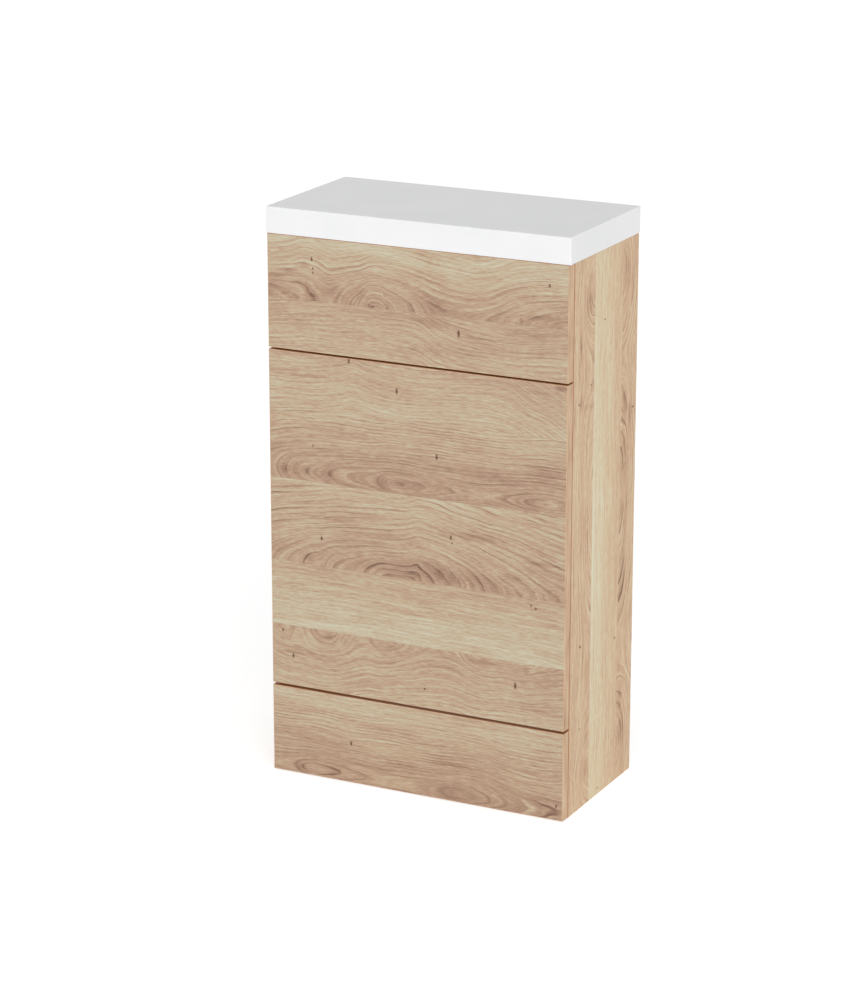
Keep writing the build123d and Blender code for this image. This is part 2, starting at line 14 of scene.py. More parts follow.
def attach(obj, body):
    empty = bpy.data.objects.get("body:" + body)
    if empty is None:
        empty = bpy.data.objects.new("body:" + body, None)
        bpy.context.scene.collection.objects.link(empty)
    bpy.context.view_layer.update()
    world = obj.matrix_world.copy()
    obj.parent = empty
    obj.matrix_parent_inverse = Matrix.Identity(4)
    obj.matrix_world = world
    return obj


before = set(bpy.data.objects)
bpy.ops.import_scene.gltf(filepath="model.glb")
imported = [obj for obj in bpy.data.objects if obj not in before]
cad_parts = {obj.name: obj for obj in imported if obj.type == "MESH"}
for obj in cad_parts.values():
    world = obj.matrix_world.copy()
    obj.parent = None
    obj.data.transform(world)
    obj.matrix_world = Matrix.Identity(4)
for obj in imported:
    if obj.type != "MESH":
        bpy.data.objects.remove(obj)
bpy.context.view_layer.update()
bpy.ops.object.select_all(action="DESELECT")

# %% [markdown]
# Every finish here is worked out from the place of a point on the board, in millimetres, so a
# decor runs on across the gap between two boards as it does on the real fascias. Shader maths gets
# long as nodes, so it is written as Python sums instead. One small class wraps a socket: a sum on
# it adds the Math node, and make() adds any other node.

# %% A value that takes part in shader sums


class Value:
    """A shader socket: sums on it add Math nodes, and make() adds any other node."""

    def __init__(self, tree, socket=None):
        self.tree = tree
        self.socket = socket

    def make(self, kind, settings=None, inputs=None, output=0):
        node = self.tree.nodes.new(kind)
        for name, setting in (settings or {}).items():
            if name == "stops":
                set_stops(node.color_ramp, setting)
            elif name == "points":
                set_points(node.mapping, setting)
            else:
                setattr(node, name, setting)
        for name, value in (inputs or {}).items():
            if isinstance(value, Value):
                self.tree.links.new(value.socket, node.inputs[name])
            else:
                node.inputs[name].default_value = value
        return Value(self.tree, node.outputs[output])

    def math(self, operation, *others):
        inputs = dict(enumerate(others))
        return self.make("ShaderNodeMath", {"operation": operation}, inputs)

    def __add__(self, other):
        return self.math("ADD", self, other)

    def __sub__(self, other):
        return self.math("SUBTRACT", self, other)

    def __rsub__(self, other):
        return self.math("SUBTRACT", other, self)

    def __mul__(self, other):
        return self.math("MULTIPLY", self, other)

    def __truediv__(self, other):
        return self.math("DIVIDE", self, other)

    def __pow__(self, other):
        return self.math("POWER", self, other)

    def __abs__(self):
        return self.math("ABSOLUTE", self)

    def least(self, other):
        return self.math("MINIMUM", self, other)

    def most(self, other):
        return self.math("MAXIMUM", self, other)

    def fraction(self):
        return self.math("FRACT", self)

    __radd__ = __add__
    __rmul__ = __mul__


def set_stops(ramp, stops):
    """Fill a colour ramp with (position, colour or grey) stops."""
    while len(ramp.elements) < len(stops):
        ramp.elements.new(1.0)
    for element, (position, colour) in zip(ramp.elements, stops):
        element.position = position
        element.color = (*colour, 1) if isinstance(colour, tuple) else (colour, colour, colour, 1)


def set_points(mapping, points):
    """Fill a float curve with (x, y) points."""
    curve = mapping.curves[0]
    while len(curve.points) < len(points):
        curve.points.new(0.5, 0.5)
    for point, place in zip(curve.points, points):
        point.location = place
    mapping.update()


print("shader sums ready")

# %% [markdown]
# The fronts are boards faced with printed oak paper. The print shows planks glued side by side,
# and each plank is a slice through growth rings: where the slice runs near the heart of the tree
# the rings show as nested arches, cut off along the glue line, and elsewhere as long straight
# lines. So a plank is described by the height of its heart line, the number of rings between the
# heart and the glue line at places along the board, and how far its lines sweep up or down there.
# A point's distance from the heart, counted in rings, then gives every line of the figure.

# %% Planks of the fascias, from the floor up, in millimetres
MOST_RINGS = 20
MOST_SWEEP = 50

BROWN_PLANK = dict(
    base=482.5, top=601, tones=(0.12, 0.74), contrast=0.95, heart=499, ring=5,
    rings=[(-250, 9.6), (-240, 9), (-225, 8), (-190, 6), (-151, 5), (-128, 4.3), (-105, 3.7),
           (-68, 3), (-53, 2), (-40, 1.2), (-30, 0.8), (-12, 1.2), (30, 2.2), (90, 3.2), (150, 2.8),
           (195, 1.5), (214, 1), (240, 1.5), (290, 3.4), (350, 5.2), (400, 6)],
    sweep=[(-250, 0), (120, 0), (250, 5), (330, -3), (400, 3)],
)


def moved(plank, along, up, base):
    """The same plank printed again, shifted along the board and up, from another glue line."""
    return dict(
        plank, base=base, top=plank["top"] + up, heart=plank["heart"] + up,
        rings=[(place + along, rings) for place, rings in plank["rings"]],
        sweep=[(place + along, rise) for place, rise in plank["sweep"]],
    )


REPEAT_ALONG = -147.5
REPEAT_UP = -485
FASCIA_PLANKS = [
    moved(BROWN_PLANK, REPEAT_ALONG, REPEAT_UP, 0),
    dict(
        base=116.5, top=144, tones=(0.8, 0.86), contrast=0.25, heart=20, ring=7,
        rings=[(-250, 0), (250, 0)],
        sweep=[(-250, 0), (250, 3)],
    ),
    dict(
        base=144, top=245, tones=(0.74, 0.4), contrast=0.45, heart=249, ring=7,
        rings=[(-250, 4), (-225, 2), (-205, 3.4), (-175, 1.4), (-150, 0.6), (-125, 2.5), (-85, 4),
               (-55, 1.4), (-25, 3.4), (50, 6), (95, 3), (122, 0.8), (150, 2), (180, 0.5), (205, 3),
               (250, 5)],
        sweep=[(-250, -6), (-180, -14), (-60, 4), (40, 12), (120, 12), (250, 18)],
    ),
    dict(
        base=245, top=349, tones=(1.16, 0.5), contrast=0.25, heart=120, ring=7,
        rings=[(-250, 0), (250, 0)],
        sweep=[(-250, 0), (50, 0), (180, -4), (250, -10)],
    ),
    dict(
        base=349, top=482.5, tones=(0.3, 0.78), contrast=1.0, heart=347, ring=7.3,
        rings=[(-250, 9), (-225, 8), (-197, 7), (-178, 6.2), (-164, 6), (-143, 5), (-111, 4),
               (-90, 3), (-72, 2), (-55, 0.8), (-30, 0.2), (0, 0.9), (11, 2), (34, 3), (62, 4),
               (80, 5), (101, 6), (118, 7), (144, 8), (178, 9), (220, 10.4), (250, 11)],
        sweep=[(-250, -4), (-160, 0), (-70, -2), (-20, 1), (12, 9), (38, 8), (70, 2), (150, 0),
               (250, -4)],
    ),
    BROWN_PLANK,
    dict(
        base=601, top=685, tones=(0.84, 0.52), contrast=0.55, heart=520, ring=6,
        rings=[(-250, 0), (250, 0)],
        sweep=[(-250, -8), (-125, 4), (-105, 10), (-80, 3), (0, 0), (90, 6), (140, 6), (190, -10),
               (250, -40)],
    ),
    dict(
        base=685, top=767, tones=(0.72, 0.42), contrast=0.5, heart=640, ring=7,
        rings=[(-250, 0), (250, 0)],
        sweep=[(-250, -6), (-60, 6), (-5, 4), (40, -14), (80, -22), (140, -24), (250, -22)],
    ),
    dict(
        base=767, top=864, tones=(0.26, 1.06), contrast=0.85, heart=765, ring=6.2,
        rings=[(-250, 5.6), (-225, 6.2), (-196, 7), (-180, 7.6), (-165, 8.1), (-152, 8.4),
               (-144, 8.3), (-131, 7.7), (-121, 6.9), (-111, 6), (-94, 4.7), (-83, 3.2), (-66, 0.5),
               (-50, 2.6), (-28, 4.2), (-14, 5.1), (-3, 5.8), (19, 6.9), (39, 7.4), (70, 7.6),
               (110, 7.1), (150, 5.8), (172, 5), (190, 4.5), (250, 3.2)],
        sweep=[(-250, -8), (-215, -2), (-172, 9), (-140, 2), (-60, 0), (40, 0), (110, -6), (170, 4),
               (250, 6)],
    ),
]

# Knots: place along the board, height, and half their height. They stand across the grain.
FASCIA_KNOTS = [
    (-174, 831, 4.5), (-172, 817, 2.6), (-172, 810, 2.4), (219, 831, 4.0), (72, 743, 7.5),
    (-112, 681, 6.0), (-31, 643, 6.0), (36, 549, 6.0), (-175, 540, 2.2), (-161, 394, 5.0),
    (60, 426, 4.5), (62, 417, 2.4), (194, 338, 2.6), (202, 334, 3.0), (-231, 235, 3.4),
    (-213, 195, 5.0), (169, 207, 7.0), (16, 177, 2.4), (-112, 66, 5.0), (239, 24, 3.4),
]

# Shades: place along the board, height, half length, half height, and how much darker the middle
# is. A negative number is a paler place.
FASCIA_SHADES = [
    (-246, 782, 26, 16, 0.5), (-240, 799, 24, 6, 0.65), (-216, 809, 28, 6, 0.6),
    (-188, 821, 18, 6, 0.55), (-134, 784, 22, 18, 0.4), (-74, 769, 9, 4, 0.9),
    (-222, 774, 9, 4, 0.6), (-172, 776, 9, 4, 0.5), (-90, 785, 12, 12, 0.25),
    (36, 779, 22, 14, 0.6), (14, 788, 30, 14, 0.2), (100, 797, 50, 6, 0.3),
    (212, 781, 45, 6, 0.5), (174, 775, 4, 8, 0.6), (-55, 824, 50, 5, -0.35),
    (-60, 852, 120, 9, -0.2), (24, 756, 40, 12, 0.35), (110, 739, 44, 3, 0.6),
    (66, 712, 90, 7, 0.25), (240, 679, 16, 6, 1.0), (205, 668, 30, 4, 0.35),
    (-190, 649, 60, 4, 0.35), (-20, 540, 60, 12, 0.15), (215, 548, 45, 24, 0.35),
    (130, 527, 60, 9, 0.35), (-148, 500, 11, 9, 0.5), (-188, 499, 11, 10, 0.45),
    (-224, 498, 11, 10, 0.5), (-55, 497, 14, 12, 0.5), (10, 503, 60, 6, 0.3),
    (198, 497, 26, 14, 0.3), (-30, 487, 16, 8, -0.3), (-152, 427, 70, 6, 0.5),
    (105, 432, 60, 8, 0.45), (215, 405, 50, 5, 0.5), (-10, 366, 110, 22, 0.45),
    (157, 376, 24, 12, 0.45), (100, 364, 46, 18, 0.35), (-4, 358, 16, 8, 0.5),
    (-188, 361, 18, 10, 0.5), (-95, 372, 14, 14, 0.2), (40, 366, 10, 16, 0.35),
    (62, 362, 9, 14, 0.35), (55, 331, 18, 6, 0.35), (200, 334, 24, 4, 0.3),
    (-214, 200, 34, 4, 0.6), (-150, 237, 10, 9, 0.4), (-40, 234, 16, 8, 0.3),
    (116, 236, 34, 6, 0.4), (187, 233, 8, 9, 0.4), (205, 172, 32, 3, 0.55),
    (-26, 43, 45, 8, 0.45), (55, 62, 60, 12, 0.3), (-202, 13, 14, 12, 0.45),
    (-178, 3, 14, 7, -0.3), (-130, 18, 60, 6, 0.3), (52, 12, 26, 14, 0.3), (210, 20, 34, 6, 0.3),
]

print(len(FASCIA_PLANKS), "planks and", len(FASCIA_KNOTS), "knots on the fascias")

# %% [markdown]
# The gables carry the same print upright, with three planks from front to back. Their heart lines
# stand at the glue lines, so the arches are cut off along straight upright edges.

# %% Planks of the gables, from the front to the back
GABLE_PLANKS = [
    dict(
        base=-108, top=-32.5, tones=(0.46, 0.4), contrast=1.0, heart=-31, ring=8,
        rings=[(0, 4), (30, 2), (50, 0.5), (62, 1), (90, 3.5), (150, 5.5), (250, 6), (330, 4.5),
               (400, 3), (480, 2.4), (560, 3.4), (625, 4.6), (680, 6), (720, 5.6), (760, 3.6),
               (785, 1.6), (815, 0.3), (850, 2.4), (864, 4)],
        sweep=[(0, 0), (200, -4), (300, 4), (500, 6), (640, -4), (864, 0)],
    ),
    dict(
        base=-32.5, top=70, tones=(1.04, 0.42), contrast=0.16, heart=-120, ring=7,
        rings=[(0, 0), (864, 0)],
        sweep=[(0, 0), (300, 4), (600, -3), (864, 2)],
    ),
    dict(
        base=70, top=128, tones=(0.26, 0.4), contrast=1.1, heart=68, ring=7.5,
        rings=[(0, 4), (40, 2), (60, 0.5), (80, 1.4), (110, 3), (140, 4.6), (160, 6), (200, 8),
               (250, 8), (290, 7), (320, 6), (350, 5), (375, 4), (400, 3), (425, 2), (450, 1),
               (480, 0.4), (520, 1.2), (560, 2.6), (590, 4), (620, 4.6), (640, 5), (665, 6.4),
               (690, 6.8), (720, 5), (750, 3.6), (780, 2), (815, 0.4), (850, 2.4), (864, 3.4)],
        sweep=[(0, 0), (200, 6), (400, -4), (600, 4), (700, -4), (864, 0)],
    ),
]
GABLE_KNOTS = [
    (666, -43, 2.4), (645, -85, 3.6), (264, -71, 5.0), (131, -69, 2.6), (756, 4, 3.6),
    (10, 4, 3.4), (595, 115, 4.2), (238, 60, 3.6),
]
GABLE_SHADES = [
    (795, -54, 34, 17, 0.6), (725, -82, 80, 7, 0.6), (830, -48, 14, 12, 0.4),
    (645, -80, 16, 14, 0.5), (636, -52, 8, 22, 0.4), (60, -52, 34, 17, 0.6),
    (120, -45, 40, 9, 0.3), (417, -28, 230, 7, -0.7), (420, -10, 260, 22, -0.2),
    (700, 30, 160, 18, -0.12), (815, 88, 44, 17, 0.55), (780, 106, 40, 8, 0.5),
    (605, 84, 34, 16, 0.65), (590, 104, 26, 8, 0.6), (530, 84, 80, 15, 0.55),
    (440, 80, 30, 12, 0.5), (390, 94, 110, 14, 0.4), (330, 84, 70, 14, 0.55),
    (130, 82, 32, 15, 0.65), (80, 88, 34, 15, 0.7), (360, 56, 60, 14, 0.25),
]

print(len(GABLE_PLANKS), "planks and", len(GABLE_KNOTS), "knots on a gable")

# %% [markdown]
# The print has only a few inks, from the brown of the late rings to a greenish cream. A board's
# tone is one number: its place on that range. Lines, streaks, pores and knots only take something
# off it, and a single colour ramp turns it into a colour at the end.

# %% Tones of the oak print


def screen(red, green, blue):
    """A colour as a picture shows it, 0 to 255, in the linear values that shaders use."""
    parts = [part / 255 for part in (red, green, blue)]
    return tuple(part / 12.92 if part < 0.04 else ((part + 0.055) / 1.055) ** 2.4 for part in parts)


TONE_LOW = -2.4
TONE_HIGH = 1.6
FASCIA_TONES = [
    (TONE_LOW, screen(68, 47, 35)),
    (-1.0, screen(135, 105, 86)),
    (0.0, screen(172, 141, 118)),
    (0.4, screen(184, 155, 130)),
    (0.7, screen(190, 168, 140)),
    (1.0, screen(194, 180, 153)),
    (TONE_HIGH, screen(203, 197, 174)),
]
GABLE_TONES = [
    (TONE_LOW, screen(78, 54, 38)),
    (-1.0, screen(158, 121, 92)),
    (0.0, screen(204, 169, 136)),
    (0.4, screen(213, 181, 148)),
    (0.7, screen(218, 194, 159)),
    (1.0, screen(221, 205, 171)),
    (TONE_HIGH, screen(226, 218, 190)),
]


def inked(tone, tones):
    """Turn a tone into a colour."""
    stops = [((place - TONE_LOW) / (TONE_HIGH - TONE_LOW), colour) for place, colour in tones]
    place = (tone - TONE_LOW) / (TONE_HIGH - TONE_LOW)
    return place.make("ShaderNodeValToRGB", {"stops": stops}, {"Fac": place})


def blend(share, first, second):
    """A colour between two others."""
    return share.make(
        "ShaderNodeMix", {"data_type": "RGBA"}, {0: share, 6: first, 7: second}, output=2)


print("tones from", TONE_LOW, "to", TONE_HIGH)

# %% [markdown]
# The helpers below follow a plank's description. A float curve holds what changes along the board,
# and each glue line switches from one plank's values to the next plank's.

# %% Values that follow the planks


def along_curve(along, points, most, lowest=0):
    """A value that runs along the board through (place, value) points."""
    low, high = points[0][0], points[-1][0]
    places = [((place - low) / (high - low), (value - lowest) / (most - lowest))
              for place, value in points]
    share = (along - low) / (high - low)
    curve = share.make("ShaderNodeFloatCurve", {"points": places}, {"Value": share})
    return curve * (most - lowest) + lowest


def by_plank(switches, values):
    """The value of the plank that a point lies on."""
    chosen = values[0]
    for switch, value in zip(switches, values[1:]):
        chosen = switch.make(
            "ShaderNodeMix", {"data_type": "FLOAT"}, {0: switch, 2: chosen, 3: value})
    return chosen


def pair(along, across):
    """A point from its place along the grain and across it."""
    return along.make("ShaderNodeCombineXYZ", {}, {"X": along, "Y": across})


def grain_noise(place, length, width, detail):
    """Noise stretched along the grain, about zero."""
    stretched = place.make(
        "ShaderNodeVectorMath", {"operation": "MULTIPLY"},
        {0: place, 1: (1 / length, 1 / width, 1)})
    noise = place.make(
        "ShaderNodeTexNoise", {"noise_dimensions": "2D"},
        {"Vector": stretched, "Scale": 1.0, "Detail": detail, "Roughness": 0.55})
    return noise - 0.5


KNOT_SLIMNESS = 0.24
KNOT_SOFTNESS = 1.1


def knot_shade(along, across, knots):
    """1 in the middle of each knot, falling to 0 outside it."""
    shade = along * 0
    for place, height, size in knots:
        breadth = size * KNOT_SLIMNESS + KNOT_SOFTNESS
        reach = ((along - place) / breadth) ** 2 + ((across - height) / size) ** 2
        shade = shade.most(1 - reach)
    return shade


def soft_shade(along, across, shades):
    """The sum of soft dark and pale places."""
    total = along * 0
    for place, height, length, width, depth in shades:
        reach = ((along - place) / length) ** 2 + ((across - height) / width) ** 2
        total = total + (1 - reach).most(0) ** 1.5 * depth
    return total


print("plank helpers ready")

# %% [markdown]
# Now the figure itself. Several noises keep it from looking ruled. Each has a length along the
# grain, a width across it and a detail: a slow bend moves whole lines, a ripple makes them
# tremble, clouds tint wide areas, streaks and threads run beside the rings, and pores are the
# short dashes of oak. A line is dark where its ring has its late wood, and patches make some of
# the lines fade out, because evenly dark rings look drawn.

# %% The oak figure
BEND = (150, 50, 1)
BEND_HEIGHT = 13
RIPPLE = (22, 9, 2)
RIPPLE_LENGTH = 5
RIPPLE_RINGS = 0.28
HEART_REACH = 30
PLANK_SHIFT = 37.0
SHIFT_ALONG = 5
PATCHES = (90, 1.6, 2)
PATCH_CONTRAST = 3.4
PATCH_MIDDLE = 0.5
PATCH_IN_SHADE = 0.9
FAINTEST_LINE = 0.05
LINE_MIDDLE = 0.14
CLOUDS, CLOUD_DEPTH = (170, 26, 2), 0.7
STREAKS, STREAK_DEPTH = (120, 3.4, 3), 1.5
THREADS, THREAD_DEPTH = (40, 1.4, 2), 1.2
PORES, PORE_DEPTH = (13, 1.3, 2), 1.6
KNOT_DEPTH = 2.4

# How dark a ring is from its early wood, at 0, to its late wood and the next ring, at 1
RING_PROFILE = [
    (0.0, 0.05), (0.12, 0.0), (0.45, 0.15), (0.7, 0.35), (0.84, 0.95), (0.93, 1.0), (1.0, 0.1),
]


def ring_count(along, across, place, planks, of_plank, switches):
    """How many rings a point lies from the heart of its plank."""
    bend = grain_noise(place, *BEND)
    ripple = grain_noise(place, *RIPPLE)
    unsteady = along + ripple * RIPPLE_LENGTH
    rings = by_plank(
        switches, [along_curve(unsteady, plank["rings"], MOST_RINGS) for plank in planks])
    sweep = by_plank(
        switches, [along_curve(along, plank["sweep"], MOST_SWEEP, -MOST_SWEEP) for plank in planks])
    rise = across - of_plank("heart")
    away = (abs(rise) / HEART_REACH).least(1)
    height = (rise - (sweep + bend * BEND_HEIGHT) * away) / of_plank("ring")
    return (height ** 2 + rings ** 2) ** 0.5 + ripple * RIPPLE_RINGS


def oak_tone(along, across, planks, knots, shades):
    """The tone of the print at a point, and its fine grain."""
    switches = [across.math("GREATER_THAN", across, plank["base"]) for plank in planks[1:]]

    def of_plank(name):
        return by_plank(switches, [plank[name] for plank in planks])

    shift = by_plank(switches, [PLANK_SHIFT * number for number in range(len(planks))])
    along_shift = along + shift * SHIFT_ALONG
    place = pair(along_shift, across + shift)
    distance = ring_count(along, across, place, planks, of_plank, switches)
    figure = pair(along_shift, distance * of_plank("ring") + shift)

    profile = distance.fraction()
    late = profile.make("ShaderNodeValToRGB", {"stops": RING_PROFILE}, {"Fac": profile})
    soft = soft_shade(along, across, shades)
    weight = grain_noise(pair(along_shift, distance), *PATCHES) * PATCH_CONTRAST + PATCH_MIDDLE
    weight = (weight + soft * PATCH_IN_SHADE).most(FAINTEST_LINE) * of_plank("contrast")

    share = (across - of_plank("base")) / (of_plank("top") - of_plank("base"))
    first, last = (by_plank(switches, [plank["tones"][end] for plank in planks]) for end in (0, 1))
    streaks = grain_noise(figure, *STREAKS)
    pores = grain_noise(place, *PORES)
    tone = first + (last - first) * share + grain_noise(place, *CLOUDS) * CLOUD_DEPTH
    tone = tone + streaks * STREAK_DEPTH + grain_noise(figure, *THREADS) * THREAD_DEPTH
    tone = tone + pores * PORE_DEPTH - (late - LINE_MIDDLE) * weight - soft
    return tone - knot_shade(along, across, knots) * KNOT_DEPTH, streaks + pores


print("oak print ready")

# %% [markdown]
# The boards themselves are melamine faced: the print lies under a matt, slightly textured skin.
# Where a board is cut and no edging strip covers it, its chipboard core shows. The way a face
# looks tells the two apart. Chipboard is pressed from flat chips of many shades, so it is drawn
# as cells, each with its own shade.

# %% Board materials


def new_material(name):
    """A new material, with a value in its node tree and its Principled shader."""
    material = bpy.data.materials.new(name)
    material.use_nodes = True
    tree = material.node_tree
    return material, Value(tree), tree.nodes["Principled BSDF"]


def feed(tree, shader, **sockets):
    """Link values to a shader's sockets, or set numbers on them."""
    for name, value in sockets.items():
        socket = shader.inputs[name.replace("_", " ")]
        if isinstance(value, Value):
            tree.links.new(value.socket, socket)
        else:
            socket.default_value = value


def split(value, vector):
    """The x, y and z values of a vector."""
    parts = value.make("ShaderNodeSeparateXYZ", {}, {"Vector": vector})
    return [Value(value.tree, parts.socket.node.outputs[axis]) for axis in range(3)]


def in_millimetres(value):
    """A point's place on the object, in millimetres."""
    place = value.make("ShaderNodeTexCoord", output=3)
    return value.make("ShaderNodeVectorMath", {"operation": "SCALE"}, {0: place, "Scale": 1000.0})


def facing(value):
    """How squarely a face looks along x, y and z."""
    return [abs(part) for part in split(value, value.make("ShaderNodeTexCoord", output=1))]


SKIN_STRENGTH = 0.35
BOARD_RELIEF = 0.00008


def skin(value, height, depth=BOARD_RELIEF):
    """The slight relief of a surface, of a depth given in metres."""
    return value.make(
        "ShaderNodeBump", {}, {"Strength": SKIN_STRENGTH, "Distance": depth, "Height": height})


CORE_SHADES = [
    (0.0, screen(150, 112, 76)), (0.3, screen(186, 148, 106)), (0.6, screen(204, 170, 128)),
    (1.0, screen(222, 194, 154)),
]


CHIPS_PER_MILLIMETRE = 0.45
CHIP_JITTER = 2


def chipboard(value):
    """The colour of a board's sawn core."""
    place = in_millimetres(value)
    jitter = value.make(
        "ShaderNodeTexNoise", {}, {"Vector": place, "Scale": 0.3, "Detail": 3.0}, output=1)
    place = value.make(
        "ShaderNodeVectorMath", {"operation": "MULTIPLY_ADD"},
        {0: jitter, 1: (CHIP_JITTER, CHIP_JITTER, CHIP_JITTER), 2: place})
    chips = value.make(
        "ShaderNodeTexVoronoi", {}, {"Vector": place, "Scale": CHIPS_PER_MILLIMETRE}, output=1)
    shade = split(value, chips)[0]
    return shade.make("ShaderNodeValToRGB", {"stops": CORE_SHADES}, {"Fac": shade})


print(len(CORE_SHADES), "shades in the core")

# %% [markdown]
# A board's face is a satin that the grain breaks up a little, and its sawn core is rough. Three
# kinds of board share this: the fascias with level grain, the gables with upright grain, and the
# rails, which nobody sees, with plain straight grain.

# %% Board finishes
CORE_ROUGHNESS = 0.8
FACE_SMOOTHER = 0.28
GRAIN_SMOOTHER = 0.12
BOARD_SHINE = 0.35


def board(name, tones, face_axis, tone_at):
    """A board's material: the print on its faces, chipboard where it is cut."""
    material, value, shader = new_material(name)
    tone, grain = tone_at(*split(value, in_millimetres(value)))
    square = facing(value)[face_axis]
    is_face = square.math("GREATER_THAN", square, 0.5)
    colour = blend(is_face, chipboard(value), inked(tone, tones))
    roughness = CORE_ROUGHNESS - is_face * FACE_SMOOTHER - grain * GRAIN_SMOOTHER
    feed(material.node_tree, shader, Base_Color=colour, Roughness=roughness,
         Normal=skin(value, grain))
    shader.inputs["Specular IOR Level"].default_value = BOARD_SHINE
    return material


PLAIN_CLOUDS, PLAIN_CLOUD_DEPTH = (60, 15, 2), 1.7
PLAIN_STREAKS, PLAIN_STREAK_DEPTH = (110, 3.2, 3), 1.5


def plain_tone(along, across, level):
    """The tone of plain straight grain, and its fine grain."""
    place = pair(along, across)
    streaks = grain_noise(place, *PLAIN_STREAKS)
    clouds = grain_noise(place, *PLAIN_CLOUDS)
    return clouds * PLAIN_CLOUD_DEPTH + streaks * PLAIN_STREAK_DEPTH + level, streaks


def fascia_tone(x, y, z):
    """The fascias' print, its grain level."""
    return oak_tone(x, z, FASCIA_PLANKS, FASCIA_KNOTS, FASCIA_SHADES)


def gable_tone(x, y, z):
    """The gables' print, its grain upright."""
    return oak_tone(z, y, GABLE_PLANKS, GABLE_KNOTS, GABLE_SHADES)


def rail_tone(x, y, z):
    """The rails' print, where only straight lines show."""
    return plain_tone(x, z, 0.5)


AXIS_X, AXIS_Y, AXIS_Z = range(3)
boards = {
    "fascia": board("fascia_oak", FASCIA_TONES, AXIS_Y, fascia_tone),
    "gable": board("gable_oak", GABLE_TONES, AXIS_X, gable_tone),
    "rail": board("rail_oak", GABLE_TONES, AXIS_Y, rail_tone),
}
print({name: len(material.node_tree.nodes) for name, material in boards.items()}, "nodes")

# %% [markdown]
# Edging strips are the same decor on a thin plastic band, ironed onto the sawn edges. In the
# photograph the gaps between the boards look warm and brown, because light that gets in has
# bounced off oak several times. That light is painted: the strips' faces that line a gap get a
# painted brown shade.

# %% Edging finishes
# Painted shade: the brown that the gaps between the boards get from light bounced inside them.
PAINTED_GAP_SHADE = screen(176, 122, 84)
GABLE_FRONT = -107.5
FASCIA_END = 249.0
EDGING_ROUGHNESS = 0.5
EDGING_SHINE = 0.3


def edging(name, tone_at, painted_shade_at):
    """The print on edging strips, with a painted brown shade where a strip lines a gap between
    boards.
    """
    material, value, shader = new_material(name)
    place = split(value, in_millimetres(value))
    tone, grain = tone_at(*place)
    colour = blend(painted_shade_at(value, *place), inked(tone, GABLE_TONES), (*PAINTED_GAP_SHADE, 1))
    feed(material.node_tree, shader, Base_Color=colour,
         Roughness=EDGING_ROUGHNESS - grain * GRAIN_SMOOTHER, Normal=skin(value, grain))
    shader.inputs["Specular IOR Level"].default_value = EDGING_SHINE
    return material


def gable_strip_tone(x, y, z):
    """Grain that runs up the strip."""
    return plain_tone(z, x + y, 0.3)


def gable_strip_painted_shade(value, x, y, z):
    """Painted brown shade towards the front edge, which the fascias cover."""
    return 1 - (y - GABLE_FRONT).most(0).least(1) ** 3


def fascia_strip_tone(x, y, z):
    """Grain along each strip: level on the long ones, upright on the short ones at the ends."""
    at_end = x.math("GREATER_THAN", abs(x), FASCIA_END)
    return plain_tone(x + (z - x) * at_end, y + z * (1 - at_end), 0.1)


def fascia_strip_painted_shade(value, x, y, z):
    """Painted brown shade on the level faces, which show only in the gaps."""
    level = facing(value)[AXIS_Z]
    return level.math("GREATER_THAN", level, 0.7)


boards["gable edging"] = edging("gable_edging_oak", gable_strip_tone, gable_strip_painted_shade)
boards["fascia edging"] = edging("fascia_edging_oak", fascia_strip_tone, fascia_strip_painted_shade)
print("board finishes", sorted(boards))

# %% [markdown]
# The worktop is cast from white resin and stone powder and sanded to a satin. Close up it is not
# quite even: faint clouds and fine pits break the highlight.

# %% White cast worktop
WHITE_SHADES = [(0.35, (0.84, 0.845, 0.85)), (0.65, (0.875, 0.875, 0.875))]
CLOUDS_PER_METRE = 9.0
PITS_PER_METRE = 900.0
PIT_RELIEF = 0.00002


def cast_white():
    """White resin, a little uneven in shade and gloss, with fine pits."""
    material, value, shader = new_material("cast_white")
    place = value.make("ShaderNodeTexCoord", output=3)
    clouds = value.make(
        "ShaderNodeTexNoise", {}, {"Vector": place, "Scale": CLOUDS_PER_METRE, "Detail": 3.0})
    pits = value.make(
        "ShaderNodeTexNoise", {}, {"Vector": place, "Scale": PITS_PER_METRE, "Detail": 2.0})
    colour = clouds.make("ShaderNodeValToRGB", {"stops": WHITE_SHADES}, {"Fac": clouds})
    feed(material.node_tree, shader, Base_Color=colour, Roughness=0.34 + clouds * 0.1,
         Normal=skin(value, pits, PIT_RELIEF))
    return material


worktop_white = cast_white()
print("worktop finish", worktop_white.name)

# %% [markdown]
# The fittings are zinc-plated or plain rolled steel, moulded plastic and turned beech. Each is two
# close shades in clouds of its own size, and the clouds shift the gloss too. The feet's stems are
# threaded rods: the frame has them as plain cylinders, so the thread is drawn as a bump that winds
# once round the stem for each step of its pitch.

# %% Fittings


def clouded(value, light, dark, size):
    """A colour that wavers between two shades, in clouds of a size given in millimetres."""
    place = value.make("ShaderNodeTexCoord", output=3)
    clouds = value.make(
        "ShaderNodeTexNoise", {}, {"Vector": place, "Scale": 1000.0 / size, "Detail": 4.0})
    stops = [(0.35, dark), (0.65, light)]
    return clouds.make("ShaderNodeValToRGB", {"stops": stops}, {"Fac": clouds}), clouds


GLOSS_CHANGE = 0.3
FITTING_RELIEF = 0.00004


def speckled(name, light, dark, size, roughness, metallic=0.0):
    """A finish between two shades, its roughness uneven like its colour."""
    material, value, shader = new_material(name)
    colour, clouds = clouded(value, light, dark, size)
    feed(material.node_tree, shader, Base_Color=colour,
         Roughness=roughness + (clouds - 0.5) * GLOSS_CHANGE,
         Normal=skin(value, clouds, FITTING_RELIEF))
    shader.inputs["Metallic"].default_value = metallic
    return material


